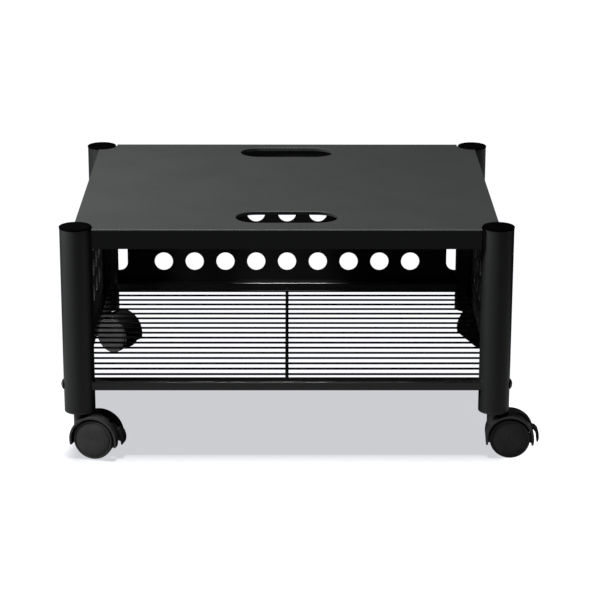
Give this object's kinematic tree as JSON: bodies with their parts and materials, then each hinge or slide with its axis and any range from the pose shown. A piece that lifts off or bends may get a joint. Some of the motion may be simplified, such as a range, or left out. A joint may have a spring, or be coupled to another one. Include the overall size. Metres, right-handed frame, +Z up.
{
  "type": "mobile printer stand",
  "caption": "Low rolling stand for a desktop printer: folded steel deck on round legs, perforated side and back panels, wire paper shelf, twin-wheel casters.",
  "frame": {"origin": "on the floor, in the middle of the rectangle of the leg centres", "axes": "+Z up, -Y towards the open front, +X towards the right-hand side seen from the front"},
  "size_m": [0.5871, 0.4764, 0.292],
  "materials": {
    "deck_sheet": "satin black powder coat",
    "panel_sheet": "satin black powder coat",
    "leg_tube": "semi-gloss black powder coat",
    "rail_tube": "satin black powder coat",
    "shelf_wire": "satin black powder coat",
    "cap_plastic": "moulded black, fine texture",
    "socket_plastic": "moulded black",
    "caster_plastic": "moulded black nylon, satin",
    "wheel_plastic": "moulded black nylon with a harder rolling band",
    "lever_plastic": "moulded black nylon",
    "bolt_black": "black oxide",
    "stem_steel": "turned steel",
    "zinc_steel": "zinc plated"
  },
  "bodies": {
    "frame": {"leg_front_left": "leg_tube", "cap_front_left": "cap_plastic", "socket_front_left": "socket_plastic", "stem_front_left": "stem_steel", "leg_front_right": "leg_tube", "cap_front_right": "cap_plastic", "socket_front_right": "socket_plastic", "stem_front_right": "stem_steel", "leg_back_left": "leg_tube", "cap_back_left": "cap_plastic", "socket_back_left": "socket_plastic", "stem_back_left": "stem_steel", "leg_back_right": "leg_tube", "cap_back_right": "cap_plastic", "socket_back_right": "socket_plastic", "stem_back_right": "stem_steel", "deck": "deck_sheet", "deck_studs": "zinc_steel", "deck_nuts": "zinc_steel", "side_panel_left": "panel_sheet", "side_panel_right": "panel_sheet", "back_panel": "panel_sheet", "front_rail": "rail_tube", "back_rail": "rail_tube", "shelf_bar_left": "rail_tube", "shelf_bar_right": "rail_tube", "shelf_wires": "shelf_wire", "support_wire": "shelf_wire", "rail_bolts": "bolt_black", "rail_inserts": "zinc_steel"},
    "caster_front_left": {"caster_body_front_left": "caster_plastic", "axle_front_left": "stem_steel", "lever_pin_front_left": "stem_steel"},
    "wheel_front_left_outer": {"wheel_front_left_outer": "wheel_plastic"},
    "wheel_front_left_inner": {"wheel_front_left_inner": "wheel_plastic"},
    "brake_lever_front_left": {"brake_lever_front_left": "lever_plastic"},
    "caster_front_right": {"caster_body_front_right": "caster_plastic", "axle_front_right": "stem_steel", "lever_pin_front_right": "stem_steel"},
    "wheel_front_right_outer": {"wheel_front_right_outer": "wheel_plastic"},
    "wheel_front_right_inner": {"wheel_front_right_inner": "wheel_plastic"},
    "brake_lever_front_right": {"brake_lever_front_right": "lever_plastic"},
    "caster_back_left": {"caster_body_back_left": "caster_plastic", "axle_back_left": "stem_steel"},
    "wheel_back_left_outer": {"wheel_back_left_outer": "wheel_plastic"},
    "wheel_back_left_inner": {"wheel_back_left_inner": "wheel_plastic"},
    "caster_back_right": {"caster_body_back_right": "caster_plastic", "axle_back_right": "stem_steel"},
    "wheel_back_right_outer": {"wheel_back_right_outer": "wheel_plastic"},
    "wheel_back_right_inner": {"wheel_back_right_inner": "wheel_plastic"}
  },
  "joints": [
    {"name": "swivel_front_left", "type": "hinge", "parent": "frame", "child": "caster_front_left", "pos_m": [-0.254, -0.208, 0.05], "axis": [0, 0, 1], "continuous": true},
    {"name": "spin_front_left_outer", "type": "hinge", "parent": "caster_front_left", "child": "wheel_front_left_outer", "pos_m": [-0.23672, -0.2243, 0.0248], "axis": [0.225, 0.9744, 0], "continuous": true},
    {"name": "spin_front_left_inner", "type": "hinge", "parent": "caster_front_left", "child": "wheel_front_left_inner", "pos_m": [-0.23133, -0.20092, 0.0248], "axis": [0.225, 0.9744, 0], "continuous": true},
    {"name": "brake_front_left", "type": "hinge", "parent": "caster_front_left", "child": "brake_lever_front_left", "pos_m": [-0.21688, -0.21657, 0.0396], "axis": [0.225, 0.9744, 0], "range_deg": [0, 12]},
    {"name": "swivel_front_right", "type": "hinge", "parent": "frame", "child": "caster_front_right", "pos_m": [0.254, -0.208, 0.05], "axis": [0, 0, 1], "continuous": true},
    {"name": "spin_front_right_outer", "type": "hinge", "parent": "caster_front_right", "child": "wheel_front_right_outer", "pos_m": [0.27384, -0.22106, 0.0248], "axis": [0.0523, 0.9986, 0], "continuous": true},
    {"name": "spin_front_right_inner", "type": "hinge", "parent": "caster_front_right", "child": "wheel_front_right_inner", "pos_m": [0.2751, -0.19709, 0.0248], "axis": [0.0523, 0.9986, 0], "continuous": true},
    {"name": "brake_front_right", "type": "hinge", "parent": "caster_front_right", "child": "brake_lever_front_right", "pos_m": [0.29205, -0.20999, 0.0396], "axis": [0.0523, 0.9986, 0], "range_deg": [0, 12]},
    {"name": "swivel_back_left", "type": "hinge", "parent": "frame", "child": "caster_back_left", "pos_m": [-0.254, 0.208, 0.05], "axis": [0, 0, 1], "continuous": true},
    {"name": "spin_back_left_outer", "type": "hinge", "parent": "caster_back_left", "child": "wheel_back_left_outer", "pos_m": [-0.24409, 0.18641, 0.0248], "axis": [0.5736, 0.8192, 0], "continuous": true},
    {"name": "spin_back_left_inner", "type": "hinge", "parent": "caster_back_left", "child": "wheel_back_left_inner", "pos_m": [-0.23032, 0.20607, 0.0248], "axis": [0.5736, 0.8192, 0], "continuous": true},
    {"name": "swivel_back_right", "type": "hinge", "parent": "frame", "child": "caster_back_right", "pos_m": [0.254, 0.208, 0.05], "axis": [0, 0, 1], "continuous": true},
    {"name": "spin_back_right_outer", "type": "hinge", "parent": "caster_back_right", "child": "wheel_back_right_outer", "pos_m": [0.27711, 0.20252, 0.0248], "axis": [-0.2924, 0.9563, 0], "continuous": true},
    {"name": "spin_back_right_inner", "type": "hinge", "parent": "caster_back_right", "child": "wheel_back_right_inner", "pos_m": [0.2701, 0.22547, 0.0248], "axis": [-0.2924, 0.9563, 0], "continuous": true}
  ]
}
